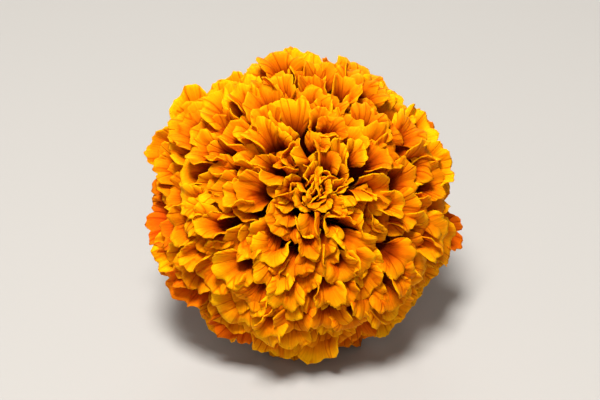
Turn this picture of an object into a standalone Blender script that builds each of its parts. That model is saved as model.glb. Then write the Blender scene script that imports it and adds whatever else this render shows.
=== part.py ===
"""A fully double marigold flower, picked with a short stem and lying on its lower petals and its cut end.

Everything is modelled along the flower's own axis, W, with w = 0 where the stem meets the green cup.
One empty then lays the flower down. All sizes are in metres.
"""

import math

import bmesh
import bpy
from mathutils import Matrix, Vector

MM = 0.001
GAP = 0.3 * MM

# The stem, swollen and hollow below the cup.
STEM_LENGTH = 15.6 * MM
STEM_CUT_RADIUS = 2.7 * MM
STEM_NECK_RADIUS = 3.9 * MM
PITH_RADIUS = 1.1 * MM
PITH_DEPTH = 9.0 * MM
STEM_SIDES = 16
STEM_SWELLING = [(0.0, 0.0), (0.4, 0.07), (0.72, 0.5), (0.94, 1.0), (1.0, 1.0)]

# The involucre: eight bracts grown together in a cup, with free teeth at its mouth.
BRACTS = 8
CUP_WALL = 0.7 * MM
CUP_TOOTH = 2.2 * MM
TOOTH_SPREAD = 0.03
CUP_PROFILE = [(3.9, 0.7), (6.8, 2.4), (9.2, 5.6), (10.4, 9.4), (11.3, 12.6)]
CUP_SIDES = 32

# The receptacle: a dome on a narrow foot inside the cup, which bears every floret.
RECEPTACLE_FOOT = [(0.0, 0.3), (2.4, 0.3), (5.8, 3.4)]
DOME_RADIUS = 7.2 * MM
DOME_HEIGHT = 6.6 * MM
DOME_CENTRE = 8.6 * MM
DOME_SIDES = 24
DOME_RINGS = 6

# The head's outline: an oblate ball that is a little flatter below its widest part.
HEAD_RADIUS = 39.0 * MM
HEAD_CENTRE = 30.0 * MM
HEAD_RISE = 28.5 * MM
HEAD_DROP = 21.0 * MM

# Whorls of inner florets, from the heart outwards. Tips and bases lie at these angles from the axis.
WHORLS = 11
FIRST_TIP_ANGLE = 5.0
LAST_TIP_ANGLE = 86.5
FIRST_BASE_ANGLE = 8.0
LAST_BASE_ANGLE = 60.0
WHORL_WALL = 0.34 * MM
WHORL_SIDES = 24
WHORL_SEGMENTS = 5
PLEATS_START = 0.3
PLEAT_DEPTH = 0.7 * MM
PLEAT_SHARE = 0.12
PLEAT_REACH = 1.0 * MM

# The three outer rows, one node for each floret: name, tip angle, base angle, and whether the row
# starts half a step from the low side.
FLORETS_IN_ROW = 15
OUTER_ROWS = [
    ("third_ray", 96.5, 72.0, 0.0),
    ("second_ray", 110.0, 81.0, 0.5),
    ("outer_ray", 125.0, 92.0, 0.0),
]
FLORET_WIDTH = 10.8 * MM
CLAW_WIDTH = 1.7 * MM
FLORET_WALL = 0.5 * MM
FLORET_SEGMENTS = 6
BLADE_STARTS = 0.42
BLADE_FULL = 0.86
RIM_ROUNDING = 0.30
BLADE_CUPPING = 0.10

# A floret's side view: how steeply it leaves the receptacle, and how far its tip curls over.
RISE_SHARE = 0.42
CURL_SHARE = 0.40
LEANING_SHARE = 0.16
SPREADING_SHARE = 0.35
CURL_LEAD = 34.0
CURL_GROWS_TO = 40.0
MOST_CURL = 128.0

# How the flower lies: its axis leans this far from upright, towards -Y, which is its low side.
LEAN = 50.0
LOW_SIDE = -90.0


def clear_scene():
    for thing in list(bpy.data.objects):
        bpy.data.objects.remove(thing, do_unlink=True)


def make_material(name, colour, roughness):
    material = bpy.data.materials.new(name)
    material.use_nodes = True
    shader = material.node_tree.nodes["Principled BSDF"]
    shader.inputs["Base Color"].default_value = (*colour, 1.0)
    shader.inputs["Roughness"].default_value = roughness
    shader.inputs["Metallic"].default_value = 0.0
    return material


def add_object(name, bm, material, home, axis_empty):
    """Links a finished bmesh as one named piece on the flower's axis."""
    bmesh.ops.recalc_face_normals(bm, faces=bm.faces)
    mesh = bpy.data.meshes.new(name)
    bm.to_mesh(mesh)
    bm.free()
    mesh.shade_smooth()
    mesh.materials.append(material)
    piece = bpy.data.objects.new(name, mesh)
    home.objects.link(piece)
    piece.parent = axis_empty
    return piece


def thicken(piece, wall):
    shell = piece.modifiers.new("Wall", "SOLIDIFY")
    shell.thickness = wall
    shell.offset = 0.0
    shell.use_even_offset = False


def turned(profile, sides):
    """A bmesh turned about the axis from (radius, height) points."""
    bm = bmesh.new()
    points = [bm.verts.new((radius, 0.0, height)) for radius, height in profile]
    edges = [bm.edges.new(pair) for pair in zip(points, points[1:])]
    bmesh.ops.spin(
        bm,
        geom=points + edges,
        cent=(0, 0, 0),
        axis=(0, 0, 1),
        angle=2 * math.pi,
        steps=sides,
        use_merge=True,
    )
    bmesh.ops.remove_doubles(bm, verts=bm.verts, dist=0.01 * MM)
    return bm


def smooth_step(value):
    value = min(max(value, 0.0), 1.0)
    return value * value * (3 - 2 * value)


def tip_point(angle):
    """The point of the head's outline at this angle from the axis, as (radius, height)."""
    turn = math.radians(angle)
    rise = HEAD_RISE if angle < 90 else HEAD_DROP
    return Vector((HEAD_RADIUS * math.sin(turn), HEAD_CENTRE + rise * math.cos(turn)))


def base_point(angle):
    """The point just clear of the receptacle's dome at this angle, as (radius, height)."""
    turn = math.radians(angle)
    clear = GAP + FLORET_WALL / 2
    return Vector(
        (
            (DOME_RADIUS + clear) * math.sin(turn),
            DOME_CENTRE + (DOME_HEIGHT + clear) * math.cos(turn),
        )
    )


def floret_line(tip_angle, base_angle, steps):
    """A floret's side view: up out of the cup, then curling outwards to its tip."""
    start = base_point(base_angle)
    end = tip_point(tip_angle)
    reach = (end - start).length
    rising = math.radians(LEANING_SHARE * tip_angle)
    lead = CURL_LEAD * smooth_step(tip_angle / CURL_GROWS_TO)
    curl = math.radians(min((1 - LEANING_SHARE) * tip_angle + lead, MOST_CURL))
    outwards = Vector((SPREADING_SHARE * math.sin(rising), math.cos(rising)))
    leave = start + RISE_SHARE * reach * outwards
    arrive = end - CURL_SHARE * reach * Vector((math.sin(curl), math.cos(curl)))
    line = []
    for step in range(steps + 1):
        t = step / steps
        line.append(
            (1 - t) ** 3 * start
            + 3 * (1 - t) ** 2 * t * leave
            + 3 * (1 - t) * t * t * arrive
            + t**3 * end
        )
    return line


def build_stem(material, home, axis_empty):
    hollow = [
        (0.0, PITH_DEPTH - STEM_LENGTH),
        (PITH_RADIUS, PITH_DEPTH - STEM_LENGTH),
        (PITH_RADIUS, -STEM_LENGTH),
    ]
    outside = []
    for height, swelling in STEM_SWELLING:
        radius = STEM_CUT_RADIUS + (STEM_NECK_RADIUS - STEM_CUT_RADIUS) * swelling
        outside.append((radius, height * STEM_LENGTH - STEM_LENGTH))
    bm = turned(hollow + outside + [(0.0, 0.0)], STEM_SIDES)
    return add_object("stem", bm, material, home, axis_empty)


def build_involucre(material, home, axis_empty):
    bm = turned([(r * MM, w * MM) for r, w in CUP_PROFILE], CUP_SIDES)
    mouth = CUP_PROFILE[-1][1] * MM
    for vert in bm.verts:
        if vert.co.z > mouth - GAP:
            around = math.atan2(vert.co.y, vert.co.x)
            tooth = 0.5 + 0.5 * math.cos(BRACTS * around)
            vert.co.z += CUP_TOOTH * tooth
            vert.co.xy *= 1.0 + TOOTH_SPREAD * tooth
    piece = add_object("involucre", bm, material, home, axis_empty)
    thicken(piece, CUP_WALL)
    return piece


def build_receptacle(material, home, axis_empty):
    profile = [(r * MM, w * MM) for r, w in RECEPTACLE_FOOT]
    for ring in range(DOME_RINGS + 1):
        turn = math.pi / 2 * (1 - ring / DOME_RINGS)
        profile.append(
            (DOME_RADIUS * math.sin(turn), DOME_CENTRE + DOME_HEIGHT * math.cos(turn))
        )
    bm = turned(profile, DOME_SIDES)
    return add_object("receptacle", bm, material, home, axis_empty)


def build_whorl(number, material, home, axis_empty):
    """One whorl of florets as a pleated funnel with a lobed rim."""
    share = (number - 1) / (WHORLS - 1)
    tip_angle = FIRST_TIP_ANGLE + (LAST_TIP_ANGLE - FIRST_TIP_ANGLE) * share
    base_angle = FIRST_BASE_ANGLE + (LAST_BASE_ANGLE - FIRST_BASE_ANGLE) * share
    line = floret_line(tip_angle, base_angle, WHORL_SEGMENTS)
    bm = turned([(p.x, p.y) for p in line], WHORL_SIDES)
    out = (line[-1] - line[-2]).normalized()
    up = Vector((-out.y, out.x))
    for vert in bm.verts:
        radius = vert.co.xy.length
        nearest = min(
            range(len(line)),
            key=lambda i: (line[i] - Vector((radius, vert.co.z))).length,
        )
        grown = smooth_step((nearest / WHORL_SEGMENTS - PLEATS_START) / (1 - PLEATS_START))
        around = math.atan2(vert.co.y, vert.co.x)
        wave = math.cos(around * WHORL_SIDES / 2)
        depth = min(PLEAT_DEPTH, PLEAT_SHARE * radius)
        move = grown * wave * (depth * up + PLEAT_REACH * out)
        vert.co.xy *= (radius + move.x) / radius
        vert.co.z += move.y
    piece = add_object(f"ray_whorl_{number:02d}", bm, material, home, axis_empty)
    thicken(piece, WHORL_WALL)
    return piece


def build_floret(name, tip_angle, base_angle, around, material, home, axis_empty):
    """One ray floret: a narrow claw that opens in a fan with a rounded, cupped blade."""
    line = floret_line(tip_angle, base_angle, FLORET_SEGMENTS)
    bm = bmesh.new()
    bmesh.ops.create_grid(bm, x_segments=2, y_segments=FLORET_SEGMENTS, size=1.0)
    for vert in bm.verts:
        across = vert.co.x
        row = round((vert.co.y + 1) / 2 * FLORET_SEGMENTS)
        along = row / FLORET_SEGMENTS
        fan = smooth_step((along - BLADE_STARTS) / (BLADE_FULL - BLADE_STARTS))
        half = (CLAW_WIDTH + (FLORET_WIDTH - CLAW_WIDTH) * fan) / 2
        here = line[row]
        ahead = (line[min(row + 1, FLORET_SEGMENTS)] - line[max(row - 1, 0)]).normalized()
        inner = Vector((-ahead.y, ahead.x))
        drop = RIM_ROUNDING * half * across * across * fan
        cup = BLADE_CUPPING * half * across * across * fan
        spot = here - drop * ahead + cup * inner
        vert.co = Vector((spot.x, across * half, spot.y))
    bm.transform(Matrix.Rotation(around, 4, "Z"))
    piece = add_object(name, bm, material, home, axis_empty)
    thicken(piece, FLORET_WALL)
    return piece


def build_row(label, tip_angle, base_angle, shift, material, home, axis_empty):
    for number in range(FLORETS_IN_ROW):
        around = math.radians(LOW_SIDE) + 2 * math.pi * (number + shift) / FLORETS_IN_ROW
        name = f"{label}_{number + 1:02d}"
        build_floret(name, tip_angle, base_angle, around, material, home, axis_empty)


def evaluated_points(piece):
    """The world positions of a piece's vertices, with its modifiers."""
    seen = piece.evaluated_get(bpy.context.evaluated_depsgraph_get())
    return [seen.matrix_world @ vert.co for vert in seen.data.vertices]


def rest_on_surface(piece, surface):
    """Bends what hangs below the surface up until it lies flat on it, at its full thickness."""
    if min(point.z for point in evaluated_points(piece)) > surface:
        return
    graph = bpy.context.evaluated_depsgraph_get()
    wall = piece.modifiers["Wall"].thickness
    piece.data = bpy.data.meshes.new_from_object(piece.evaluated_get(graph))
    piece.modifiers.clear()
    to_world = piece.matrix_world.copy()
    to_piece = to_world.inverted()
    normals = [to_world.to_3x3() @ vert.normal for vert in piece.data.vertices]
    for vert, normal in zip(piece.data.vertices, normals):
        spot = to_world @ vert.co
        spot.z = max(spot.z, surface if normal.z < 0 else surface + wall)
        vert.co = to_piece @ spot


def lay_down(home, axis_empty):
    """Leans the flower over on its cut end and its low petals, with the surface at z = 0."""
    lean = Matrix.Rotation(math.radians(LEAN), 4, "X")
    axis_empty.matrix_world = lean
    bpy.context.view_layer.update()
    surface = min(point.z for point in evaluated_points(bpy.data.objects["stem"]))
    solids = [piece for piece in home.objects if piece.type == "MESH"]
    for piece in solids:
        if "ray" in piece.name:
            rest_on_surface(piece, surface)
    bpy.context.view_layer.update()
    points = [point for piece in solids for point in evaluated_points(piece)]
    middle = [(min(p[i] for p in points) + max(p[i] for p in points)) / 2 for i in range(2)]
    axis_empty.matrix_world = Matrix.Translation((-middle[0], -middle[1], -surface)) @ lean
    bpy.context.view_layer.update()


def main():
    clear_scene()
    home = bpy.data.collections.new("marigold_flower")
    bpy.context.scene.collection.children.link(home)
    axis_empty = bpy.data.objects.new("flower_axis", None)
    home.objects.link(axis_empty)

    stem_green = make_material("stem_green", (0.20, 0.30, 0.07), 0.6)
    cup_green = make_material("cup_green", (0.13, 0.26, 0.06), 0.55)
    pith_cream = make_material("pith_cream", (0.62, 0.62, 0.40), 0.8)
    petal_orange = make_material("petal_orange", (0.90, 0.32, 0.01), 0.6)
    old_orange = make_material("old_petal_orange", (0.68, 0.16, 0.01), 0.65)

    build_stem(stem_green, home, axis_empty)
    build_involucre(cup_green, home, axis_empty)
    build_receptacle(pith_cream, home, axis_empty)
    for number in range(1, WHORLS + 1):
        build_whorl(number, petal_orange, home, axis_empty)
    for label, tip_angle, base_angle, shift in OUTER_ROWS:
        material = old_orange if label == "outer_ray" else petal_orange
        build_row(label, tip_angle, base_angle, shift, material, home, axis_empty)
    lay_down(home, axis_empty)


main()
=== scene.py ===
import math

import bmesh
import bpy
import numpy as np
from mathutils import Matrix, Vector


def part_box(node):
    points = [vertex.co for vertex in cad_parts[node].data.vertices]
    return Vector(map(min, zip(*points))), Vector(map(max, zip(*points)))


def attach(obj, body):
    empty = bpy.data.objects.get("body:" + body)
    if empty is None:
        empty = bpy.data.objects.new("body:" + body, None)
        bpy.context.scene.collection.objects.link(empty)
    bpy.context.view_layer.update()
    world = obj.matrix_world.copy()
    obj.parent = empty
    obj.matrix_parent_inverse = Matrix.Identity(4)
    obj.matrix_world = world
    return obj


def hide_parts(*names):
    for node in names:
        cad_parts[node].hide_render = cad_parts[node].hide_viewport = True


# A double marigold flower: petals grown one by one and pressed apart, on a cup and a cut stem.

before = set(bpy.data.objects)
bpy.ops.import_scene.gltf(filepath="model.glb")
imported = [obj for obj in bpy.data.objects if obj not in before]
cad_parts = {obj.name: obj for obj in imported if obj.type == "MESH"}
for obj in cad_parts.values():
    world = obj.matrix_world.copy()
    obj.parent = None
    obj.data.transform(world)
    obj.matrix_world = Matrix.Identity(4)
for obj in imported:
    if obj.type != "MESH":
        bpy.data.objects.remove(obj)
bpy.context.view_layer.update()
mm = 0.001

head = {
    "lean": 50.0,  # degrees the axis leans from upright, as the solids do
    "radius": 39.0 * mm,
    "centre": 30.0 * mm,  # height of the widest part over the foot of the cup
    "rise": 28.5 * mm,
    "drop": 21.0 * mm,
    "domeRadius": 7.7 * mm,
    "domeHeight": 7.1 * mm,
    "domeCentre": 8.6 * mm,
    "hollow": 8.0 * mm,  # depth at which the painted shade in the gaps is darkest
}

# Where the flower's own axis stands in the frame, read from the stem's box.
stemCad = {"length": 15.6 * mm, "cutRadius": 2.7 * mm}
lean = math.radians(head["lean"])
stemLow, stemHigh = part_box("stem")
footY = stemHigh[1] - stemCad["length"] * math.sin(lean) - stemCad["cutRadius"] * math.cos(lean)
footZ = stemCad["length"] * math.cos(lean) + stemCad["cutRadius"] * math.sin(lean)
foot = Vector(((stemLow[0] + stemHigh[0]) / 2, footY, footZ))
toWorld = Matrix.Translation(foot) @ Matrix.Rotation(lean, 4, "X")
floorNormal = np.array(toWorld.inverted().to_3x3() @ Vector((0, 0, 1)))
floorHeight = -foot.z  # height of the surface along that normal, from the flower's foot


def smoothStep(value):
    value = np.clip(value, 0.0, 1.0)
    return value * value * (3 - 2 * value)


def blendTo(low, high, share):
    return low + (high - low) * share


# Petals

petals = {
    "seed": 11,
    "whorlCounts": [9, 14, 18, 22, 25, 27, 29, 30, 31, 31, 32],
    "firstTip": 2.0,  # degrees from the axis
    "lastTip": 87.5,
    "firstBase": 8.0,
    "lastBase": 64.0,
    "goldenAngle": 137.508,
    "rowCount": 15,
    "rows": [("third_ray", 97.0, 72.0, 0.0), ("second_ray", 110.0, 81.0, 0.5), ("outer_ray", 124.0, 92.0, 0.0)],
    "rowAge": {"third_ray": 0.15, "second_ray": 0.45, "outer_ray": 1.0},
    "agedShare": 0.4,
    "lowSide": -90.0,
    "tipJitter": 2.6,
    "turnJitter": 3.5,
    "heartTurnJitter": 14.0,
    "strayShare": 0.14,  # of the petals that stand out of the head's rounded outside
    "strayDepth": 1.9 * mm,
    "strayLead": 16.0,
    "heartDepth": 1.0 * mm,  # how far below the dome a tip may end
    "outerDepth": 2.6 * mm,
    "heartBlade": 6.2 * mm,
    "outerBlade": 10.4 * mm,
    "rowBlade": 16.5 * mm,  # of the outer rows, whose blades start near the cup
    "heartClaw": 0.85 * mm,  # half the width of the narrow foot where it meets the blade
    "outerClaw": 1.2 * mm,
    "heartFan": 44.0,
    "outerFan": 50.0,
    "rowFan": 38.0,
    "roundness": 0.5,  # how much shorter the fan is at its sides
    "throatFold": 1.8 * mm,  # radius of the gutter at the throat
    "heartRim": 2.2 * mm,  # radius of the cup at the rim
    "outerRim": 4.9 * mm,
    "cornetShare": 0.55,  # of the petals of the middle zone
    "cornetFold": 0.4,
    "sharpestFold": 1.85,  # radians a side
    "marginFold": 0.65,
    "heartLip": 88.0,  # how far the rolled lip turns back
    "outerLip": 72.0,
    "lowerLip": 26.0,
    "lipStart": 0.56,
    "ruffle": 1.05 * mm,
    "pleatShare": 0.9,
    "lead": 44.0,  # how far a tip bends out from the head's own normal
    "lowerLead": 20.0,
    "mostCurl": 130.0,
    "leadJitter": 9.0,
    "heartLeadJitter": 30.0,
    "rollHeart": 46.0,
    "rollOuter": 10.0,
    "yaw": 8.0,
    "heartYaw": 20.0,
    "thickness": 0.22 * mm,
}

across = 13
clawRows = 3
bladeRows = 11
along = clawRows + bladeRows


def petalList():
    rng = np.random.default_rng(petals["seed"])
    rows = []
    counts = petals["whorlCounts"]
    edges = np.cumsum([0] + counts)
    tips = np.linspace(petals["firstTip"], petals["lastTip"], len(counts))
    bases = np.linspace(petals["firstBase"], petals["lastBase"], len(counts))
    middles = (edges[:-1] + edges[1:]) / 2
    for index in range(sum(counts)):
        whorl = int(np.searchsorted(edges, index, "right")) - 1
        tip = np.interp(index + 0.5, middles, tips)
        base = np.interp(index + 0.5, middles, bases)
        rows.append((f"ray_whorl_{whorl + 1:02d}", tip, base, index * petals["goldenAngle"], 0.0))
    for label, tip, base, shift in petals["rows"]:
        for number in range(petals["rowCount"]):
            turn = petals["lowSide"] + 360.0 * (number + shift) / petals["rowCount"]
            rows.append((f"{label}_{number + 1:02d}", tip, base, turn, petals["rowAge"][label]))
    count = len(rows)
    table = {"node": [row[0] for row in rows]}
    for place, key in enumerate(("tip", "base", "turn", "age")):
        table[key] = np.array([row[place + 1] for row in rows])
    aged = rng.uniform(0, 1, count) < petals["agedShare"] * smoothStep((table["tip"] - 74) / 14)
    aged &= np.sin(np.radians(table["turn"])) < 0.35  # the upper ones are younger
    table["age"] = np.clip(table["age"] * rng.uniform(0.6, 1.1, count) + 0.85 * aged, 0, 1)
    table["tip"] += rng.normal(0, petals["tipJitter"], count) * smoothStep(table["tip"] / 20)
    spread = smoothStep(table["tip"] / 46)
    turnJitter = blendTo(petals["heartTurnJitter"], petals["turnJitter"], smoothStep(table["tip"] / 24))
    table["turn"] += rng.normal(0, 1, count) * turnJitter
    middleZone = smoothStep(table["tip"] / 14) * smoothStep((72 - table["tip"]) / 20)
    table["spread"] = spread
    table["depth"] = rng.uniform(-0.9, 1, count) * blendTo(petals["heartDepth"], petals["outerDepth"], spread)
    stray = (rng.uniform(0, 1, count) < petals["strayShare"] * smoothStep((table["tip"] - 24) / 30)) * 1.0
    table["depth"] = table["depth"] - stray * petals["strayDepth"] * rng.uniform(0.5, 1, count)
    blade = blendTo(petals["heartBlade"], petals["outerBlade"], spread)
    low = smoothStep((table["tip"] - 54) / 40)
    blade = blendTo(blade, petals["rowBlade"], low)
    table["blade"] = blade * rng.uniform(0.84, 1.14, count)
    table["claw"] = blendTo(petals["heartClaw"], petals["outerClaw"], spread)
    fan = blendTo(blendTo(petals["heartFan"], petals["outerFan"], spread), petals["rowFan"], low)
    table["fan"] = np.radians(fan) * rng.uniform(0.84, 1.1, count)
    table["throat"] = petals["throatFold"] * rng.uniform(0.8, 1.6, count)
    cornet = (rng.uniform(0, 1, count) < petals["cornetShare"] * middleZone) * 1.0
    rim = blendTo(petals["heartRim"], petals["outerRim"], spread) * rng.uniform(0.75, 1.6, count)
    table["rim"] = rim * blendTo(1.0, petals["cornetFold"], cornet)
    lip = blendTo(petals["heartLip"], petals["outerLip"], spread)
    lip = blendTo(lip, petals["lowerLip"], smoothStep((table["tip"] - 55) / 30))
    table["lip"] = np.radians(lip * rng.uniform(0.35, 1.3, count))
    table["ruffle"] = petals["ruffle"] * rng.uniform(0.5, 1.4, count) * (1 + 0.5 * table["age"])
    table["waves"] = rng.uniform(1.4, 2.8, count)
    table["phase"] = rng.uniform(0, 2 * math.pi, count)
    roll = blendTo(petals["rollHeart"], petals["rollOuter"], spread)
    table["roll"] = np.radians(rng.normal(0, 1, count) * roll * (1 + 0.6 * cornet))
    yaw = blendTo(petals["heartYaw"], petals["yaw"], spread)
    table["yaw"] = np.radians(rng.normal(0, 1, count) * yaw)
    leadJitter = blendTo(petals["heartLeadJitter"], petals["leadJitter"], spread)
    lead = blendTo(petals["lead"], petals["lowerLead"], smoothStep((table["tip"] - 45) / 45))
    table["lead"] = lead * smoothStep(table["tip"] / 22) + rng.normal(0, 1, count) * leadJitter
    table["lead"] -= stray * petals["strayLead"]
    table["leftFold"] = petals["marginFold"] * rng.uniform(-0.5, 1.0, count)
    table["rightFold"] = petals["marginFold"] * rng.uniform(-0.5, 1.0, count)
    table["tint"] = rng.uniform(0, 1, count)
    table["lobes"] = rng.uniform(0, 1, (count, 6))
    return table


def tipPoint(angle, depth):
    turn = math.radians(angle)
    rise = head["rise"] if angle < 90 else head["drop"]
    share = 1 - depth / head["radius"]
    return np.array([share * head["radius"] * math.sin(turn), head["centre"] + share * rise * math.cos(turn)])


def basePoint(angle):
    turn = math.radians(angle)
    return np.array([head["domeRadius"] * math.sin(turn), head["domeCentre"] + head["domeHeight"] * math.cos(turn)])


def sideLine(tip, base, lead, depth, samples=80):  # the curve a petal's middle follows, as radius and height
    start = basePoint(base)
    end = tipPoint(tip, depth)
    reach = np.linalg.norm(end - start)
    rising = math.radians(0.16 * tip)
    curl = math.radians(min(tip + lead, petals["mostCurl"]))
    leave = start + 0.46 * reach * np.array([0.3 * math.sin(rising), math.cos(rising)])
    arrive = end - 0.36 * reach * np.array([math.sin(curl), math.cos(curl)])
    arrive[0] = max(arrive[0], 0.6 * start[0])
    t = np.linspace(0, 1, samples)[:, None]
    return (1 - t) ** 3 * start + 3 * (1 - t) ** 2 * t * leave + 3 * (1 - t) * t * t * arrive + t**3 * end


def pleatsOf(table, side):  # rounded lobes side by side, with a sharp valley between each two
    lobes = table["lobes"]
    beat = side * math.pi * (1.3 + 0.9 * lobes[:, 0:1]) + 2 * math.pi * lobes[:, 1:2]
    return np.abs(np.sin(beat)) ** 0.65 - 0.68


def foldedBlade(table, index, side, blade, grown):  # a cupped fan as x across, y along and z up from its line
    outline = 1 - petals["roundness"] * (1 - np.sqrt(1 - np.abs(side) ** 2.6))
    curl = table["lip"][index] * grown * smoothStep((blade[0] - petals["lipStart"]) / (1 - petals["lipStart"]))
    curl = (curl[1:] + curl[:-1]) / 2
    length = table["blade"][index] * outline / (bladeRows - 1)
    reach = length * np.r_[0, np.cumsum(np.cos(curl))]
    drop = length * np.r_[0, np.cumsum(np.sin(curl))]
    angle = side * table["fan"][index] * grown
    flatX = reach * np.sin(angle) + table["claw"][index] * side
    flatY = reach * np.cos(angle)
    fold = blendTo(1 / table["throat"][index], 1 / table["rim"][index], smoothStep(1.1 * blade))
    limit = petals["sharpestFold"]
    slope = limit * np.tanh(flatX * fold / limit)
    margin = np.where(side < 0, -table["leftFold"][index], table["rightFold"][index])
    slope = slope + margin * grown * blade * smoothStep((np.abs(side) - 0.4) / 0.6)
    between = (slope[1:] + slope[:-1]) / 2
    gap = np.diff(flatX, axis=0)
    start = np.zeros((1, flatX.shape[1]))
    x = np.concatenate([start, np.cumsum(gap * np.cos(between), axis=0)])
    z = np.concatenate([start, np.cumsum(gap * np.sin(between), axis=0)])
    middle = across // 2
    x = x - x[middle]
    z = z - z[middle]
    wave = 0.5 * np.sin(side * math.pi * table["waves"][index] + table["phase"][index])
    wave = wave + petals["pleatShare"] * pleatsOf(table, side.T)[index][:, None]
    lift = grown * table["ruffle"][index] * blade**2 * wave - drop
    x = x - lift * np.sin(slope)
    z = z + lift * np.cos(slope)
    roll = table["roll"][index] * blade
    x, z = x * np.cos(roll) - z * np.sin(roll), x * np.sin(roll) + z * np.cos(roll)
    return x + np.tan(table["yaw"][index]) * flatY, flatY, z


def targetShape(table, grown):  # every petal's control grid at one stage of its opening
    count = len(table["tip"])
    grid = np.zeros((count, across, along, 3))
    side = np.linspace(-1, 1, across)[:, None]
    blade = np.linspace(0, 1, bladeRows)[None, :]
    clawShare = np.linspace(0, 1, clawRows, endpoint=False)[None, :]
    step = 0.4 * mm
    for index in range(count):
        line = sideLine(*(table[key][index] for key in ("tip", "base", "lead", "depth")))
        steps = np.r_[0, np.cumsum(np.linalg.norm(np.diff(line, axis=0), axis=1))]
        clawX = table["claw"][index] * side * blendTo(0.5, 1.0, clawShare)
        x, y, z = foldedBlade(table, index, side, blade, grown)
        claw = steps[-1] - y.max()
        allX = np.concatenate([clawX, x], axis=1)
        allZ = np.concatenate([np.zeros_like(clawX), z], axis=1)
        allS = np.concatenate([np.repeat(claw * clawShare, across, axis=0), claw + y], axis=1)
        r = np.interp(allS, steps, line[:, 0])
        w = np.interp(allS, steps, line[:, 1])
        dr = np.interp(allS + step, steps, line[:, 0]) - np.interp(allS - step, steps, line[:, 0])
        dw = np.interp(allS + step, steps, line[:, 1]) - np.interp(allS - step, steps, line[:, 1])
        size = np.hypot(dr, dw)
        r = r - dw / size * allZ
        w = w + dr / size * allZ
        turn = math.radians(table["turn"][index])
        grid[index, :, :, 0] = r * math.cos(turn) - allX * math.sin(turn)
        grid[index, :, :, 1] = r * math.sin(turn) + allX * math.cos(turn)
        grid[index, :, :, 2] = w
    return grid


# Petals pressing on each other

pressing = {
    "stages": [0.2, 0.3, 0.42, 0.55, 0.7, 0.85, 1.0],
    "steps": 14,
    "lastSteps": 40,
    "pull": 0.07,
    "reach": 0.52 * mm,  # how near to its neighbours a petal's point may come, halved
    "heartReach": 0.38 * mm,
    "longestMove": 0.35 * mm,
    "smoothings": 2,
}


def closePairs(points, owner, reach):  # pairs of points of different petals nearer than reach
    cells = np.floor(points / reach).astype(np.int64)
    cells -= cells.min(axis=0) - 1
    span = cells.max(axis=0) + 2
    key = (cells[:, 0] * span[1] + cells[:, 1]) * span[2] + cells[:, 2]
    order = np.argsort(key, kind="stable")
    ranked = key[order]
    offsets = [(0, 0, 0), (0, 0, 1)]
    offsets += [(0, 1, k) for k in (-1, 0, 1)]
    offsets += [(1, j, k) for j in (-1, 0, 1) for k in (-1, 0, 1)]
    first, second = [], []
    for i, j, k in offsets:
        other = key + (i * span[1] + j) * span[2] + k
        start = np.searchsorted(ranked, other, "left")
        count = np.searchsorted(ranked, other, "right") - start
        a = np.repeat(np.arange(len(key)), count)
        within = np.arange(count.sum()) - np.repeat(np.cumsum(count) - count, count)
        b = order[np.repeat(start, count) + within]
        keep = owner[a] != owner[b]
        if (i, j, k) == (0, 0, 0):
            keep &= a < b
        a, b = a[keep], b[keep]
        near = ((points[a] - points[b]) ** 2).sum(axis=1) < reach * reach
        first.append(a[near])
        second.append(b[near])
    return np.concatenate(first), np.concatenate(second)


links = [((1, 0), 1.0), ((0, 1), 1.0), ((1, 1), 0.7), ((1, -1), 0.7), ((2, 0), 0.35), ((0, 2), 0.35)]


def linkSlices(du, dv, parity):  # two matching views of the grid that hold one colour of a link
    firstU = slice(0, across - du)
    secondU = slice(du, across)
    firstV = slice(max(0, -dv), along - max(0, dv))
    secondV = slice(max(0, dv), along + min(0, dv))
    if du:
        rows = np.array([u for u in range(across - du) if (u // du) % 2 == parity])
        return (rows, firstV), (rows + du, secondV)
    rows = np.array([v for v in range(along - dv) if (v // dv) % 2 == parity])
    return (firstU, rows), (secondU, rows + dv)


def holdLengths(grid, lengths):
    for (du, dv), stiffness in links:
        for parity in (0, 1):
            one, two = linkSlices(du, dv, parity)
            a = grid[:, one[0], one[1]]
            b = grid[:, two[0], two[1]]
            gap = b - a
            size = np.linalg.norm(gap, axis=-1, keepdims=True) + 1e-9
            wanted = lengths[(du, dv, parity)]
            move = 0.5 * stiffness * (1 - wanted / size) * gap
            grid[:, one[0], one[1]] = a + move
            grid[:, two[0], two[1]] = b - move


def restLengths(shape):
    found = {}
    for (du, dv), stiffness in links:
        for parity in (0, 1):
            one, two = linkSlices(du, dv, parity)
            gap = shape[:, two[0], two[1]] - shape[:, one[0], one[1]]
            found[(du, dv, parity)] = np.linalg.norm(gap, axis=-1, keepdims=True)
    return found


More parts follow.
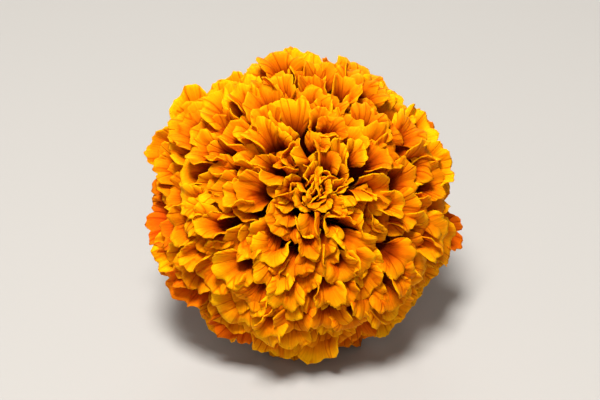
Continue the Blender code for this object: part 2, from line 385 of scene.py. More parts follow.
def pressApart(table):
    count = len(table["tip"])
    stages = pressing["stages"]
    grid = targetShape(table, stages[0])
    owner = np.repeat(np.arange(count), across * bladeRows)
    reach = blendTo(pressing["heartReach"], pressing["reach"], table["spread"])[:, None, None]
    along01 = np.linspace(0, 1, bladeRows)[None, None, :]
    radius = (reach * blendTo(0.5, 1.0, smoothStep(along01 / 0.35)) * np.ones((1, across, 1))).reshape(-1)
    shelf = floorHeight + petals["thickness"]
    for stage, grown in enumerate(stages):
        wanted = targetShape(table, grown)
        lengths = restLengths(wanted)
        steps = pressing["steps"] if stage < len(stages) - 1 else pressing["lastSteps"]
        for step in range(steps):
            before = grid.copy()
            grid += pressing["pull"] * (wanted - grid)
            holdLengths(grid, lengths)
            points = grid[:, :, clawRows:].reshape(-1, 3).copy()
            if step % 3 == 0:
                one, two = closePairs(points, owner, 2 * pressing["reach"] + 0.5 * mm)
            gap = points[two] - points[one]
            size = np.linalg.norm(gap, axis=1) + 1e-9
            deep = radius[one] + radius[two] - size
            hit = deep > 0
            push = (0.5 * deep[hit] / size[hit])[:, None] * gap[hit]
            hits = np.bincount(one[hit], minlength=len(points)) + np.bincount(two[hit], minlength=len(points))
            for axis in range(3):
                moved = np.bincount(two[hit], push[:, axis], len(points))
                moved -= np.bincount(one[hit], push[:, axis], len(points))
                points[:, axis] += moved / np.maximum(1, 0.45 * hits)
            below = shelf - points @ floorNormal
            points += np.maximum(below, 0)[:, None] * floorNormal
            grid[:, :, clawRows:] = points.reshape(count, across, bladeRows, 3)
            move = grid - before
            size = np.linalg.norm(move, axis=-1, keepdims=True) + 1e-9
            grid = before + move * np.minimum(1, pressing["longestMove"] / size)
            grid[:, :, :2] = wanted[:, :, :2]
    for step in range(pressing["smoothings"]):
        smooth = grid.copy()
        smooth[:, 1:-1] += 0.25 * (grid[:, :-2] + grid[:, 2:] - 2 * grid[:, 1:-1])
        smooth[:, :, 1:-1] += 0.25 * (grid[:, :, :-2] + grid[:, :, 2:] - 2 * grid[:, :, 1:-1])
        grid = smooth
    print("petals pressed apart,", int(hit.sum()), "touching pairs, deepest", round(deep.max() / mm, 2), "mm")
    return grid


def refine(grid, axis):  # one midpoint subdivision along an axis, smooth through its points
    grid = np.moveaxis(grid, axis, 0)
    low = 2 * grid[:1] - grid[1:2]
    high = 2 * grid[-1:] - grid[-2:-1]
    padded = np.concatenate([low, grid, high])
    middles = (9 * (padded[1:-2] + padded[2:-1]) - padded[:-3] - padded[3:]) / 16
    fine = np.empty((2 * len(grid) - 1,) + grid.shape[1:])
    fine[::2] = grid
    fine[1::2] = middles
    return np.moveaxis(fine, 0, axis)


rimDetail = {
    "lobe": 1.15 * mm,
    "pleat": 0.75 * mm,
    "teeth": 0.24 * mm,
    "flutter": 0.34 * mm,
    "notch": 0.6 * mm,
    "crease": 0.24 * mm,
    "creases": 4.2,
}


def fineShape(table, grid):  # adds the lobed rim and the creases to the pressed grids
    fine = refine(refine(grid, 1), 2)
    count, columns, rows = fine.shape[:3]
    side = np.linspace(-1, 1, columns)[None, :]
    first = 2 * clawRows
    blade = np.clip((np.arange(rows) - first) / (rows - 1 - first), 0, 1)
    forward = np.gradient(fine, axis=2)
    forward /= np.linalg.norm(forward, axis=-1, keepdims=True) + 1e-9
    normal = np.cross(np.gradient(fine, axis=1), forward)
    normal /= np.linalg.norm(normal, axis=-1, keepdims=True) + 1e-9
    lobes = table["lobes"]
    scallop = pleatsOf(table, side)
    teeth = np.sin(side * math.pi * (6.5 + 3 * lobes[:, 2:3]) + 6.28 * lobes[:, 3:4])
    notch = -np.exp(-(((side - 1.1 * (lobes[:, 4:5] - 0.5)) / 0.09) ** 2)) * (lobes[:, 5:6] > 0.45)
    reach = rimDetail["lobe"] * scallop + rimDetail["teeth"] * teeth + rimDetail["notch"] * notch
    reach *= blendTo(0.6, 1.0, table["spread"])[:, None] * (1 + 0.5 * table["age"])[:, None]
    fine += (reach[:, :, None] * blade[None, None, :] ** 3)[..., None] * forward[:, :, -3:-2]
    beat = side * math.pi * (0.5 * rimDetail["creases"] + lobes[:, 2:3]) + 6.28 * lobes[:, 5:6]
    crease = 0.64 - np.abs(np.sin(beat)) ** 0.8  # rounded ridges with sharp creases between
    bend = rimDetail["crease"] * crease[:, :, None] * np.sin(blade * math.pi * 0.62)[None, None, :]
    pleat = rimDetail["pleat"] * scallop * blendTo(0.6, 1.0, table["spread"])[:, None]
    bend = bend - pleat[:, :, None] * blade[None, None, :] ** 1.1
    flutter = np.sin(side * math.pi * (3.4 + 1.6 * lobes[:, 3:4]) + 6.28 * lobes[:, 4:5])
    flutter *= rimDetail["flutter"] * blendTo(0.7, 1.0, table["spread"])[:, None]
    bend = bend + flutter[:, :, None] * blade[None, None, :] ** 4
    fine += bend[..., None] * normal
    below = floorHeight + 0.5 * petals["thickness"] - fine @ floorNormal
    return fine + np.maximum(below, 0)[..., None] * floorNormal


def hollowOf(grids):  # how deep each point lies under the head's rounded outside, 0 to 1, used to paint shade into the gaps
    across2 = grids[..., 0] ** 2 + grids[..., 1] ** 2
    height = grids[..., 2] - head["centre"]
    rise = np.where(height > 0, head["rise"], head["drop"])
    share = np.sqrt(across2 / head["radius"] ** 2 + (height / rise) ** 2)
    return np.clip((1 - share) * head["radius"] / head["hollow"], 0, 1)


def petalMesh(name, grids, tints, ages):
    columns, rows = grids.shape[1:3]
    bm = bmesh.new()
    uvLayer = bm.loops.layers.uv.new("petal")
    tintLayer = bm.verts.layers.float.new("tint")
    ageLayer = bm.verts.layers.float.new("age")
    hollowLayer = bm.verts.layers.float.new("hollow")
    for grid, hollow, tint, age in zip(grids, hollowOf(grids), tints, ages):
        made = bmesh.ops.create_grid(bm, x_segments=columns - 1, y_segments=rows - 1, size=1.0)
        places = {}
        for vert in made["verts"]:
            u = round((vert.co.x + 1) / 2 * (columns - 1))
            v = round((vert.co.y + 1) / 2 * (rows - 1))
            places[vert] = (u / (columns - 1), v / (rows - 1))
            vert.co = toWorld @ Vector(grid[u, v])
            vert[tintLayer] = tint
            vert[ageLayer] = age
            vert[hollowLayer] = hollow[u, v]
        for face in {face for vert in made["verts"] for face in vert.link_faces}:
            for loop in face.loops:
                loop[uvLayer].uv = places[loop.vert]
    mesh = bpy.data.meshes.new(name)
    bm.to_mesh(mesh)
    bm.free()
    mesh.shade_smooth()
    piece = bpy.data.objects.new(name, mesh)
    bpy.context.collection.objects.link(piece)
    wall = piece.modifiers.new("wall", "SOLIDIFY")
    wall.thickness = petals["thickness"]
    wall.offset = 0.0
    return piece


# Materials

def newMaterial(name):
    material = bpy.data.materials.new(name)
    material.use_nodes = True
    return material, material.node_tree, material.node_tree.nodes["Principled BSDF"]


def addNode(tree, kind, inputs=None, **settings):
    node = tree.nodes.new(kind)
    for key, value in settings.items():
        setattr(node, key, value)
    for key, value in (inputs or {}).items():
        if isinstance(value, bpy.types.NodeSocket):
            tree.links.new(value, node.inputs[key])
        else:
            node.inputs[key].default_value = value
    return node


def addRamp(tree, factor, stops):
    node = addNode(tree, "ShaderNodeValToRGB", {0: factor})
    ramp = node.color_ramp
    while len(ramp.elements) > 1:
        ramp.elements.remove(ramp.elements[-1])
    ramp.elements[0].position = stops[0][0]
    ramp.elements[0].color = (*stops[0][1], 1)
    for place, colour in stops[1:]:
        element = ramp.elements.new(place)
        element.color = (*colour, 1)
    return node.outputs["Color"]


def addMath(tree, operation, first, second=0.0, third=0.0, clamp=False):
    node = addNode(tree, "ShaderNodeMath", {0: first, 1: second, 2: third}, operation=operation)
    node.use_clamp = clamp
    return node.outputs[0]


def addMix(tree, share, first, second, blendType="MIX"):
    node = addNode(tree, "ShaderNodeMix", data_type="RGBA", blend_type=blendType)
    for key, value in ((0, share), (6, first), (7, second)):
        if isinstance(value, bpy.types.NodeSocket):
            tree.links.new(value, node.inputs[key])
        else:
            node.inputs[key].default_value = value if key == 0 else (*value, 1)
    return node.outputs[2]


petalLook = {
    # Colours along the blade, from the throat out to the rim: partly the petal's own deeper base, partly painted
    # shade, as the near-black throat and lower colours darken the gaps between petals.
    "throat": (0.16, 0.012, 0.0002),
    "lower": (0.42, 0.056, 0.0004),
    "middle": (0.66, 0.142, 0.0008),
    "upper": (0.84, 0.245, 0.0010),
    "rim": (1.0, 0.40, 0.0015),
    "old": (0.66, 0.060, 0.0020),
    "roughness": 0.7,
    "fleck": (0.10, 0.022, 0.002),
    # crease: the colour multiplied in along the crease lines, as painted shade
    "crease": (0.66, 0.40, 0.3),
    "creases": 5.6,
    "creaseWidth": 0.04,
    "creaseShadeShare": 0.9,
}


def petalMaterial():
    material, tree, shader = newMaterial("marigoldPetal")
    uv = addNode(tree, "ShaderNodeUVMap", uv_map="petal").outputs[0]
    split = addNode(tree, "ShaderNodeSeparateXYZ", {0: uv}).outputs
    tint = addNode(tree, "ShaderNodeAttribute", attribute_name="tint").outputs["Fac"]
    age = addNode(tree, "ShaderNodeAttribute", attribute_name="age").outputs["Fac"]
    hollow = addNode(tree, "ShaderNodeAttribute", attribute_name="hollow").outputs["Fac"]
    objectPlace = addNode(tree, "ShaderNodeTexCoord").outputs["Object"]
    clawShare = clawRows / (along - 1)
    pastClaw = addMath(tree, "SUBTRACT", split[1], clawShare)
    blade = addMath(tree, "MULTIPLY", pastClaw, 1 / (1 - clawShare), clamp=True)
    stretchedU = addMath(tree, "MULTIPLY", split[0], 60.0)
    stretchedV = addMath(tree, "MULTIPLY", split[1], 2.2)
    petalSeed = addMath(tree, "MULTIPLY", tint, 90.0)
    stretched = addNode(tree, "ShaderNodeCombineXYZ", {0: stretchedU, 1: stretchedV, 2: petalSeed}).outputs[0]
    veinInputs = {"Vector": stretched, "Scale": 1.0, "Detail": 3.0, "Roughness": 0.6}
    veins = addNode(tree, "ShaderNodeTexNoise", veinInputs).outputs[0]
    cloudInputs = {"Vector": objectPlace, "Scale": 260.0, "Detail": 2.0}
    cloud = addNode(tree, "ShaderNodeTexNoise", cloudInputs).outputs[0]
    grainInputs = {"Vector": objectPlace, "Scale": 5200.0, "Detail": 2.0}
    grain = addNode(tree, "ShaderNodeTexNoise", grainInputs).outputs[0]
    place = addMath(tree, "MULTIPLY_ADD", addMath(tree, "SUBTRACT", cloud, 0.5), 0.35, blade)
    place = addMath(tree, "MULTIPLY_ADD", addMath(tree, "SUBTRACT", tint, 0.5), 0.24, place)
    place = addMath(tree, "MULTIPLY_ADD", addMath(tree, "SUBTRACT", veins, 0.5), 0.16, place)
    # Painted shade: the deeper a point lies under the head's rounded outside, the further its colour moves towards
    # the dark throat colour.
    place = addMath(tree, "MULTIPLY_ADD", hollow, -0.32, addMath(tree, "ADD", place, -0.02))
    # The blade's colour run: the petal's own deeper base towards the throat, with painted shade in its darkest part.
    stops = [(0.10, "throat"), (0.36, "lower"), (0.58, "middle"), (0.82, "upper"), (1.0, "rim")]
    colour = addRamp(tree, place, [(stop, petalLook[name]) for stop, name in stops])
    colour = addMix(tree, addMath(tree, "MULTIPLY", age, 0.8), colour, petalLook["old"])
    creaseU = addMath(tree, "MULTIPLY", split[0], petalLook["creases"])
    creaseV = addMath(tree, "MULTIPLY", split[1], 0.9)
    creasePlace = addNode(tree, "ShaderNodeCombineXYZ", {0: creaseU, 1: creaseV, 2: petalSeed}).outputs[0]
    creaseInputs = {"Vector": creasePlace, "Scale": 1.0, "Detail": 1.0, "Roughness": 0.4}
    folds = addNode(tree, "ShaderNodeTexNoise", creaseInputs).outputs[0]
    foldLine = addMath(tree, "ABSOLUTE", addMath(tree, "SUBTRACT", folds, 0.5))
    foldLine = addMath(tree, "MULTIPLY_ADD", foldLine, -1 / petalLook["creaseWidth"], 1.0, clamp=True)
    foldLine = addMath(tree, "MULTIPLY", foldLine, addMath(tree, "MULTIPLY_ADD", blade, 5.0, -0.2, clamp=True))
    streak = addMath(tree, "MULTIPLY_ADD", veins, 1.1, 0.38)
    streaks = addNode(tree, "ShaderNodeCombineXYZ", {0: streak, 1: streak, 2: streak}).outputs[0]
    colour = addMix(tree, 0.4, colour, streaks, "MULTIPLY")
    # Painted shade: the colour is darkened along the crease lines, which the bump also sinks.
    paintedCreaseShade = addMath(tree, "MULTIPLY", foldLine, petalLook["creaseShadeShare"])
    colour = addMix(tree, paintedCreaseShade, colour, petalLook["crease"], "MULTIPLY")
    # Painted highlight: a thin band along the petal's sides and tip is mixed towards the bright rim colour.
    edge = addMath(tree, "ABSOLUTE", addMath(tree, "MULTIPLY_ADD", split[0], 2.0, -1.0))
    sideEdgeHighlight = addMath(tree, "MULTIPLY_ADD", edge, 9.0, -8.1, clamp=True)
    endEdgeHighlight = addMath(tree, "MULTIPLY_ADD", split[1], 22.0, -21.0, clamp=True)
    margin = addMath(tree, "MAXIMUM", sideEdgeHighlight, endEdgeHighlight)
    colour = addMix(tree, addMath(tree, "MULTIPLY", margin, 0.15), colour, petalLook["rim"])
    speckInputs = {"Vector": objectPlace, "Scale": 900.0, "Detail": 2.0}
    specks = addNode(tree, "ShaderNodeTexNoise", speckInputs).outputs[0]
    wither = addMath(tree, "MULTIPLY_ADD", specks, 14.0, -9.2, clamp=True)
    nearRim = addMath(tree, "MULTIPLY_ADD", blade, 12.0, -11.0, clamp=True)
    fleck = addMath(tree, "MULTIPLY", wither, nearRim)
    colour = addMix(tree, addMath(tree, "MULTIPLY", fleck, 0.75), colour, petalLook["fleck"])
    tree.links.new(colour, shader.inputs["Base Color"])
    rough = addMath(tree, "MULTIPLY_ADD", veins, 0.2, petalLook["roughness"] - 0.1)
    tree.links.new(rough, shader.inputs["Roughness"])
    height = addMath(tree, "MULTIPLY_ADD", veins, 0.8, addMath(tree, "MULTIPLY", grain, 0.2))
    height = addMath(tree, "MULTIPLY_ADD", foldLine, -0.6, height)
    bump = addNode(tree, "ShaderNodeBump", {"Strength": 0.7, "Distance": 0.0004, "Height": height})
    tree.links.new(bump.outputs[0], shader.inputs["Normal"])
    shader.inputs["Specular IOR Level"].default_value = 0.07
    shader.inputs["Subsurface Weight"].default_value = 0.3
    shader.inputs["Subsurface Radius"].default_value = (1.0, 0.42, 0.06)
    shader.inputs["Subsurface Scale"].default_value = 0.0012
    shader.inputs["Specular Tint"].default_value = (1.0, 0.62, 0.12, 1)
    return material


def leafTissueGroup():  # streaked tissue with oil glands, a pale part and painted shade in its grooves, for the stem, the cup and the bed
    group = bpy.data.node_groups.new("leafTissue", "ShaderNodeTree")
    numbers = ["pale", "grooveShade", "streakScale", "streakStretch", "cloudScale", "cellScale", "glandScale"]
    numbers += ["glandStretch", "glandSize", "glandShare", "glandHeight", "roughness"]
    colours = ["deep", "body", "light", "glandColour", "paleColour"]
    group.interface.new_socket("own", in_out="INPUT", socket_type="NodeSocketVector")
    for label in numbers:
        group.interface.new_socket(label, in_out="INPUT", socket_type="NodeSocketFloat")
    for label in colours:
        group.interface.new_socket(label, in_out="INPUT", socket_type="NodeSocketColor")
    group.interface.new_socket("colour", in_out="OUTPUT", socket_type="NodeSocketColor")
    group.interface.new_socket("rough", in_out="OUTPUT", socket_type="NodeSocketFloat")
    group.interface.new_socket("height", in_out="OUTPUT", socket_type="NodeSocketFloat")
    given = addNode(group, "NodeGroupInput").outputs
    own = given["own"]
    pale = given["pale"]

    def drawnOut(stretch):  # the piece's own place, squeezed along its axis
        scale = addNode(group, "ShaderNodeCombineXYZ", {0: 1.0, 1: 1.0, 2: stretch}).outputs[0]
        return addNode(group, "ShaderNodeVectorMath", {0: own, 1: scale}, operation="MULTIPLY").outputs[0]

    def noise(vector, scale, detail):
        return addNode(group, "ShaderNodeTexNoise", {"Vector": vector, "Scale": scale, "Detail": detail}).outputs[0]

    streaks = noise(drawnOut(given["streakStretch"]), given["streakScale"], 4.0)
    cloud = noise(own, given["cloudScale"], 3.0)
    cells = noise(own, given["cellScale"], 2.0)
    glandInputs = {"Vector": drawnOut(given["glandStretch"]), "Scale": given["glandScale"], "Randomness": 0.85}
    gland = addNode(group, "ShaderNodeTexVoronoi", glandInputs).outputs["Distance"]
    spot = addMath(group, "MULTIPLY", addMath(group, "SUBTRACT", given["glandSize"], gland), 9.0, clamp=True)
    spot = addMath(group, "MULTIPLY", spot, addMath(group, "SUBTRACT", 1.0, pale, clamp=True))
    place = addMath(group, "MULTIPLY_ADD", streaks, 0.6, addMath(group, "MULTIPLY", cloud, 0.4))
    toBody = addMath(group, "MULTIPLY_ADD", place, 5.0, -1.5, clamp=True)
    toLight = addMath(group, "MULTIPLY_ADD", place, 4.5, -2.25, clamp=True)
    colour = addMix(group, toBody, given["deep"], given["body"])
    colour = addMix(group, toLight, colour, given["light"])
    # Painted shade: the colour is darkened towards the deep colour in the sunken grooves, seams and pits.
    colour = addMix(group, addMath(group, "MULTIPLY", given["grooveShade"], 0.8), colour, given["deep"])
    colour = addMix(group, addMath(group, "MULTIPLY", spot, given["glandShare"]), colour, given["glandColour"])
    colour = addMix(group, pale, colour, given["paleColour"])
    rough = addMath(group, "MULTIPLY_ADD", cloud, 0.25, addMath(group, "SUBTRACT", given["roughness"], 0.1))
    rough = addMath(group, "MULTIPLY_ADD", pale, 0.25, rough)
    height = addMath(group, "MULTIPLY_ADD", streaks, 0.7, addMath(group, "MULTIPLY", cells, 0.3))
    height = addMath(group, "MULTIPLY_ADD", spot, given["glandHeight"], height)
    addNode(group, "NodeGroupOutput", {"colour": colour, "rough": rough, "height": height})
    return group


leafTissue = leafTissueGroup()


def greenMaterial(name, look):
    material, tree, shader = newMaterial(name)
    tissue = addNode(tree, "ShaderNodeGroup", node_tree=leafTissue)
    for key, value in look.items():
        tissue.inputs[key].default_value = (*value, 1) if isinstance(value, tuple) else value
    for label, kind in (("own", "Vector"), ("pale", "Fac"), ("grooveShade", "Fac")):
        attribute = addNode(tree, "ShaderNodeAttribute", attribute_name=label)
        tree.links.new(attribute.outputs[kind], tissue.inputs[label])
    tree.links.new(tissue.outputs["colour"], shader.inputs["Base Color"])
    tree.links.new(tissue.outputs["rough"], shader.inputs["Roughness"])
    bumpInputs = {"Strength": 0.5, "Distance": 0.00025, "Height": tissue.outputs["height"]}
    bump = addNode(tree, "ShaderNodeBump", bumpInputs)
    tree.links.new(bump.outputs[0], shader.inputs["Normal"])
    shader.inputs["Specular IOR Level"].default_value = 0.3
    return material


# Cut stem

stem = {
    "length": 15.6 * mm,
    "cutRadius": 2.7 * mm,
    "neckRadius": 3.9 * mm,
    "pithRadius": 1.1 * mm,
    "pithDepth": 9.0 * mm,
    "skin": 0.42 * mm,  # width of the green ring round the pale cut face
    "swelling": [(0.0, 0.0), (0.4, 0.07), (0.72, 0.5), (0.94, 1.0), (1.0, 1.0)],
    "intoCup": 0.5 * mm,
    "ribs": 11,
    "ribHeight": 0.34 * mm,
    "sides": 132,
    "look": {
        "deep": (0.055, 0.115, 0.018),
        "body": (0.125, 0.225, 0.035),
        "light": (0.235, 0.33, 0.07),
        "glandColour": (0.05, 0.06, 0.01),
        "paleColour": (0.66, 0.70, 0.42),
        "streakScale": 2600.0,
        "streakStretch": 0.08,
        "cloudScale": 420.0,
        "cellScale": 9000.0,
        "glandScale": 1500.0,
        "glandStretch": 0.4,
        "glandSize": 0.12,
        "glandShare": 0.3,
        "glandHeight": -0.2,
        "roughness": 0.5,
    },
}


def turnedProfile(profile, sides):  # a bmesh spun about the flower's axis from (radius, height) points
    bm = bmesh.new()
    points = [bm.verts.new((radius, 0.0, height)) for radius, height in profile]
    edges = [bm.edges.new(pair) for pair in zip(points, points[1:])]
    spun = {"cent": (0, 0, 0), "axis": (0, 0, 1), "angle": 2 * math.pi, "steps": sides, "use_merge": True}
    bmesh.ops.spin(bm, geom=points + edges, **spun)
    bmesh.ops.remove_doubles(bm, verts=bm.verts, dist=0.003 * mm)
    bmesh.ops.recalc_face_normals(bm, faces=bm.faces)
    bm.verts.index_update()
    return bm


def addGreenPiece(name, bm, pale, grooveShade, skin):  # places a turned piece and stores what its material reads
    ownLayer = bm.verts.layers.float_vector.new("own")
    paleLayer = bm.verts.layers.float.new("pale")
    grooveShadeLayer = bm.verts.layers.float.new("grooveShade")
    for vert in bm.verts:
        vert[ownLayer] = vert.co
        vert[paleLayer] = pale.get(vert.index, 0.0)
        vert[grooveShadeLayer] = grooveShade.get(vert.index, 0.0)
        vert.co = toWorld @ vert.co
        vert.co.z = max(vert.co.z, 0.0)
    mesh = bpy.data.meshes.new(name)
    bm.to_mesh(mesh)
    bm.free()
    mesh.shade_smooth()
    mesh.materials.append(skin)
    piece = bpy.data.objects.new(name, mesh)
    bpy.context.collection.objects.link(piece)
    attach(piece, "root")
    return piece


def buildStem():
    low = -stem["length"]
    bore = stem["pithRadius"]
    cut = stem["cutRadius"]
    boreEnd = low + stem["pithDepth"]
    profile = [(0, boreEnd), (0.6 * bore, boreEnd - 0.15 * bore), (bore, boreEnd - 0.8 * bore)]
    profile += [(bore, low + 0.5 * stem["pithDepth"]), (bore, low + 0.3 * mm), (1.08 * bore, low)]
    inner = cut - stem["skin"]
    profile += [(blendTo(1.08 * bore, inner, share), low + 0.05 * mm) for share in (0.25, 0.5, 0.75)]
    profile += [(inner, low + 0.04 * mm), (cut - 0.12 * mm, low), (cut, low + 0.14 * mm)]
    heights = np.array([point[0] for point in stem["swelling"]])
    swell = np.array([point[1] for point in stem["swelling"]])
    for share in np.linspace(0.03, 1.0, 22):
        radius = blendTo(cut, stem["neckRadius"], float(np.interp(share, heights, swell)))
        profile.append((radius, low + share * stem["length"]))
    top = stem["intoCup"]
    profile += [(stem["neckRadius"] - 0.1 * mm, top), (0.5 * stem["neckRadius"], top), (0, top)]
    bm = turnedProfile(profile, stem["sides"])
    pale, grooveShade = {}, {}
    rng = np.random.default_rng(5)
    ragged = rng.uniform(-1, 1, 24)
    for vert in bm.verts:
        radius = vert.co.xy.length
        share = (vert.co.z - low) / stem["length"]
        around = math.atan2(vert.co.y, vert.co.x)
        outside = radius > cut - 0.05 * mm
        ridge = abs(math.sin(stem["ribs"] * around / 2 + 1.2 * share)) ** 0.7
        if outside:
            fade = float(smoothStep(share / 0.05))
            move = stem["ribHeight"] * (ridge - 0.75) * fade
            vert.co.xy *= 1 + move / radius
            # painted shade in the valleys between the stem's ribs
            grooveShade[vert.index] = (1 - ridge) * fade
        if share < 0.02 and radius > 0.9 * bore:
            pale[vert.index] = float(smoothStep((inner + 0.2 * mm - radius) / (0.25 * mm)))
            vert.co.z += 0.09 * mm * float(np.interp(around, np.linspace(-math.pi, math.pi, 24), ragged))
        elif not outside and vert.co.z < top - 0.1 * mm:
            pale[vert.index] = 0.9
    stemSkin = greenMaterial("stemGreen", stem["look"])
    piece = addGreenPiece("stem_skin", bm, pale, grooveShade, stemSkin)
    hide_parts("stem")


buildStem()

# Cup of bracts grown together

cup = {
    "profile": [(3.55, 0.2), (4.7, 0.95), (6.8, 2.5), (8.3, 4.1), (9.2, 5.8), (9.9, 7.6), (10.4, 9.4), (11.3, 12.6)],
    "bracts": 8,
    "sides": 160,
    "wall": 0.62 * mm,
    "toothWall": 0.3,
    "tooth": 2.4 * mm,
    "notch": 0.7 * mm,
    "toothSpread": 0.035,
    "seam": 0.34 * mm,
    "bulge": 0.26 * mm,
    "midRib": 0.3 * mm,
    "sideRib": 0.16 * mm,
    "look": {
        "deep": (0.026, 0.075, 0.010),
        "body": (0.070, 0.165, 0.020),
        "light": (0.16, 0.27, 0.038),
        "glandColour": (0.055, 0.026, 0.004),
        "paleColour": (0.46, 0.52, 0.20),
        "streakScale": 1500.0,
        "streakStretch": 0.12,
        "cloudScale": 260.0,
        "cellScale": 7000.0,
        "glandScale": 560.0,
        "glandStretch": 0.36,
        "glandSize": 0.3,
        "glandShare": 0.85,
        "glandHeight": 0.5,
        "roughness": 0.46,
    },
}


def buildCup():
    profile = refine(refine(np.array(cup["profile"]) * mm, 0), 0)
    bm = turnedProfile([tuple(point) for point in profile], cup["sides"])
    foot = profile[0, 1]
    mouth = profile[-1, 1]
    pale, grooveShade, weights = {}, {}, []
    for vert in bm.verts:
        share = (vert.co.z - foot) / (mouth - foot)
        around = math.atan2(vert.co.y, vert.co.x) * cup["bracts"] / (2 * math.pi)
        across01 = around - round(around)  # 0 on a bract's middle rib, a half on its seams
        edge = abs(across01)
        grown = float(smoothStep(share / 0.25))
        seam = math.exp(-(((edge - 0.5) / 0.07) ** 2))
        ribs = cup["midRib"] * math.exp(-((across01 / 0.06) ** 2))
        ribs += cup["sideRib"] * math.exp(-(((edge - 0.26) / 0.04) ** 2))
        move = cup["bulge"] * (math.cos(2 * math.pi * across01) - 0.4) + ribs * (1 - 0.5 * share)
        move = grown * (move - cup["seam"] * seam)
        vert.co.xy *= 1 + move / vert.co.xy.length
        tooth = max(0.0, 1 - 2 * edge) ** 1.25
        rise = float(smoothStep((share - 0.62) / 0.38))
        vert.co.z += rise * (cup["tooth"] * tooth - cup["notch"] * seam)
        vert.co.xy *= 1 + cup["toothSpread"] * tooth * rise**2
        pale[vert.index] = 0.5 * float(smoothStep((share - 0.93) / 0.07)) + 0.22 * grown * ribs / cup["midRib"]
        # painted shade along the sunken seams between the bracts
        grooveShade[vert.index] = grown * seam
        weights.append(1 - (1 - cup["toothWall"]) * rise)
    piece = addGreenPiece("bract_cup", bm, pale, grooveShade, greenMaterial("cupGreen", cup["look"]))
    walls = piece.vertex_groups.new(name="wall")
    for index, weight in enumerate(weights):
        walls.add([index], weight, "REPLACE")
    shell = piece.modifiers.new("wall", "SOLIDIFY")
    shell.thickness = cup["wall"]
    shell.offset = 0.0
    shell.vertex_group = "wall"
    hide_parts("involucre")


buildCup()

# Receptacle, the domed bed that bears the petals

bed = {
    "foot": [(0.0, 0.3), (2.4, 0.3), (3.6, 1.1), (5.8, 3.4), (6.9, 6.2), (7.2, 8.6)],
    "radius": 7.2 * mm,
    "height": 6.6 * mm,
    "centre": 8.6 * mm,
    "sides": 120,
    "rings": 26,
    "pits": 340,
    "pitRadius": 0.33 * mm,
    "pitDepth": 0.16 * mm,
    "look": {
        "deep": (0.34, 0.33, 0.12),
        "body": (0.56, 0.56, 0.30),
        "light": (0.70, 0.70, 0.46),
        "glandColour": (0.30, 0.24, 0.08),
        "paleColour": (0.74, 0.74, 0.52),
        "streakScale": 1300.0,
        "streakStretch": 0.6,
        "cloudScale": 300.0,
        "cellScale": 8000.0,
        "glandScale": 1100.0,
        "glandStretch": 1.0,
        "glandSize": 0.12,
        "glandShare": 0.5,
        "glandHeight": -0.3,
        "roughness": 0.7,
    },
}


def buildBed():
    foot = refine(np.array(bed["foot"]) * mm, 0)
    profile = [tuple(point) for point in foot]
    for turn in np.linspace(math.pi / 2, 0, bed["rings"])[1:]:
        profile.append((bed["radius"] * math.sin(turn), bed["centre"] + bed["height"] * math.cos(turn)))
    bm = turnedProfile(profile, bed["sides"])
    index = np.arange(bed["pits"]) + 0.5
    height = 1 - index / bed["pits"]
    turn = np.radians(index * petals["goldenAngle"])
    ring = np.sqrt(1 - height**2)
    pits = np.stack([bed["radius"] * ring * np.cos(turn), bed["radius"] * ring * np.sin(turn)], axis=1)
    pits = np.column_stack([pits, bed["centre"] + bed["height"] * height])
    grooveShade = {}
    for vert in bm.verts:
        if vert.co.z > bed["centre"] - bed["pitRadius"]:
            nearest = np.linalg.norm(pits - np.array(vert.co), axis=1).min()
            sunk = math.exp(-((nearest / bed["pitRadius"]) ** 2))
            vert.co -= vert.normal * bed["pitDepth"] * sunk
            # painted shade in the sunken pits
            grooveShade[vert.index] = sunk
    piece = addGreenPiece("petal_bed", bm, {}, grooveShade, greenMaterial("pithCream", bed["look"]))
    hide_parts("receptacle")


buildBed()
print("stem, cup and petal bed made")

petalSkin = petalMaterial()
petalTable = petalList()
grids = pressApart(petalTable)
grids = fineShape(petalTable, grids)
nodeNames = sorted(set(petalTable["node"]))
for nodeName in nodeNames:
    chosen = [i for i, name in enumerate(petalTable["node"]) if name == nodeName]
    piece = petalMesh(nodeName + "_petals", grids[chosen], petalTable["tint"][chosen], petalTable["age"][chosen])
    piece.data.materials.append(petalSkin)
    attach(piece, "root")
    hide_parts(nodeName)
print("petals made:", len(petalTable["node"]), "on", len(nodeNames), "nodes")

# Stage

stage = {"floorSize": 6.0, "floorColour": (0.40, 0.393, 0.382)}
bm = bmesh.new()
bmesh.ops.create_grid(bm, x_segments=1, y_segments=1, size=stage["floorSize"] / 2)
floorMesh = bpy.data.meshes.new("floor")
bm.to_mesh(floorMesh)
bm.free()
floor = bpy.data.objects.new("floor", floorMesh)
bpy.context.collection.objects.link(floor)
floorSkin, floorTree, floorShader = newMaterial("paleFloor")
floorShader.inputs["Base Color"].default_value = (*stage["floorColour"], 1)
floorShader.inputs["Roughness"].default_value = 0.85
floorMesh.materials.append(floorSkin)

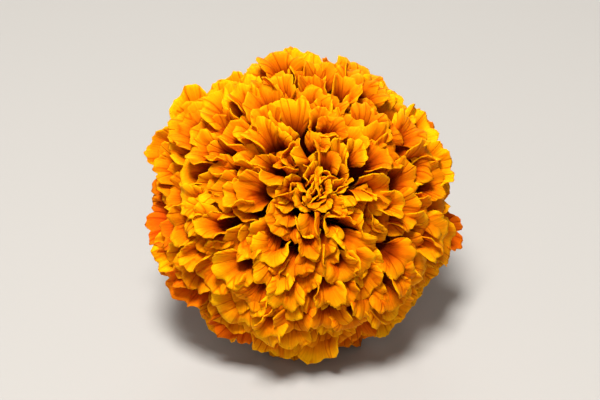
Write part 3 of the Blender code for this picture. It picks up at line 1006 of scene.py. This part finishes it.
view = {
    "azimuth": 12.0,  # degrees to the left of the flower's own side
    "elevation": 33.2,
    "lens": 100.0,
    "sensor": 36.0,
    "frameWidth": 600,
    "headWidth": 314,
    "headSize": 80.0 * mm,
    "headPixel": (305, 204),
    "frameHeight": 400,
}
turn = math.radians(view["azimuth"])
tilt = math.radians(view["elevation"])
toCamera = Vector((-math.sin(turn) * math.cos(tilt), -math.cos(turn) * math.cos(tilt), math.sin(tilt)))
rightWay = Vector((math.cos(turn), -math.sin(turn), 0))
upWay = toCamera.cross(rightWay)
pixel = view["headSize"] / view["headWidth"]
distance = pixel * view["frameWidth"] * view["lens"] / view["sensor"]
aim = toWorld @ Vector((0, 0, head["centre"] + 6 * mm))
aim -= rightWay * pixel * (view["headPixel"][0] - view["frameWidth"] / 2)
aim += upWay * pixel * (view["headPixel"][1] - view["frameHeight"] / 2)
cameraData = bpy.data.cameras.new("camera")
cameraData.lens = view["lens"]
cameraData.sensor_width = view["sensor"]
cameraData.clip_start = 0.01
camera = bpy.data.objects.new("camera", cameraData)
camera.location = aim + toCamera * distance
camera.rotation_euler = toCamera.to_track_quat("Z", "Y").to_euler()
bpy.context.collection.objects.link(camera)
bpy.context.scene.camera = camera

lights = [
    ("keyLight", (-0.14, -0.20, 0.98), 0.3, 17.8, (1.0, 0.97, 0.93)),
    ("backLight", (0.25, 0.95, 0.45), 0.6, 3.0, (1.0, 0.95, 0.88)),
    ("fillLight", (-0.16, -0.82, 0.52), 0.9, 2.3, (1.0, 0.88, 0.72)),
]
for name, place, size, power, colour in lights:
    data = bpy.data.lights.new(name, "AREA")
    data.energy = power
    data.size = size
    data.color = colour
    light = bpy.data.objects.new(name, data)
    light.location = place
    light.rotation_euler = Vector(place).to_track_quat("Z", "Y").to_euler()
    bpy.context.collection.objects.link(light)

world = bpy.data.worlds.new("studio")
bpy.context.scene.world = world
world.use_nodes = True
world.node_tree.nodes["Background"].inputs[0].default_value = (1.0, 0.90, 0.80, 1)
world.node_tree.nodes["Background"].inputs[1].default_value = 0.12
bpy.context.scene.view_settings.view_transform = "Standard"
